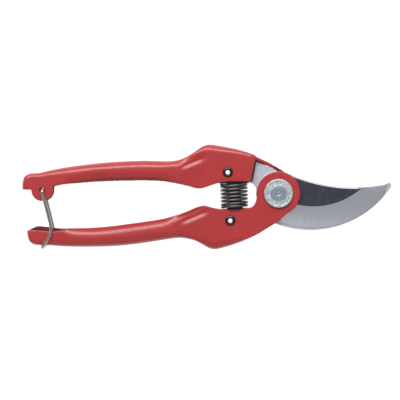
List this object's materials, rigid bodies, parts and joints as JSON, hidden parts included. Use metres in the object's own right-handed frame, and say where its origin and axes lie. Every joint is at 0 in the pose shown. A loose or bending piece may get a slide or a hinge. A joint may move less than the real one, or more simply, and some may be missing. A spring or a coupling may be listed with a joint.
{
  "type": "pruning shears",
  "caption": "Bypass pruning shears with pressed-steel channel handles, a curved cutting blade over a hooked counter blade, a coil return spring and a swinging wire latch.",
  "frame": {"origin": "on the pivot axis, at the rear face of the pivot bolt, which is the plane the shears lie on", "axes": "+X from the pivot towards the blades' tips with the handles along -X, +Y from the lower handle to the upper handle, +Z along the pivot axis towards the cutting blade's side"},
  "size_m": [0.2198, 0.0624, 0.0178],
  "materials": {
    "red_enamel": "glossy stove enamel",
    "dark_blade_steel": "dark blued blade with a bright ground edge",
    "satin_blade_steel": "satin ground",
    "zinc": "zinc plated, faintly blue",
    "black_steel": "black oxide",
    "spring_steel": "black oxide, oiled",
    "bright_wire": "bright nickel"
  },
  "bodies": {
    "lower_lever": {"lower_handle": "red_enamel", "cutting_blade": "dark_blade_steel", "pivot_bolt": "zinc", "pivot_disc": "zinc", "pivot_washer": "zinc", "pivot_nut": "zinc", "lower_rivet": "black_steel", "lower_spring_seat": "black_steel", "return_spring": "spring_steel"},
    "upper_lever": {"upper_handle": "red_enamel", "counter_blade": "satin_blade_steel", "upper_rivet": "black_steel", "upper_spring_seat": "black_steel"},
    "latch": {"latch_wire": "bright_wire"}
  },
  "joints": [
    {"name": "handle_pivot", "type": "hinge", "parent": "lower_lever", "child": "upper_lever", "pos_m": [0, 0, 0], "axis": [0, 0, -1], "range_deg": [0, 35], "deforming": ["return_spring"]},
    {"name": "latch_swing", "type": "hinge", "parent": "upper_lever", "child": "latch", "pos_m": [-0.1403, 0.0018, 0.0089], "axis": [0, 0, -1], "range_deg": [0, 238]}
  ]
}
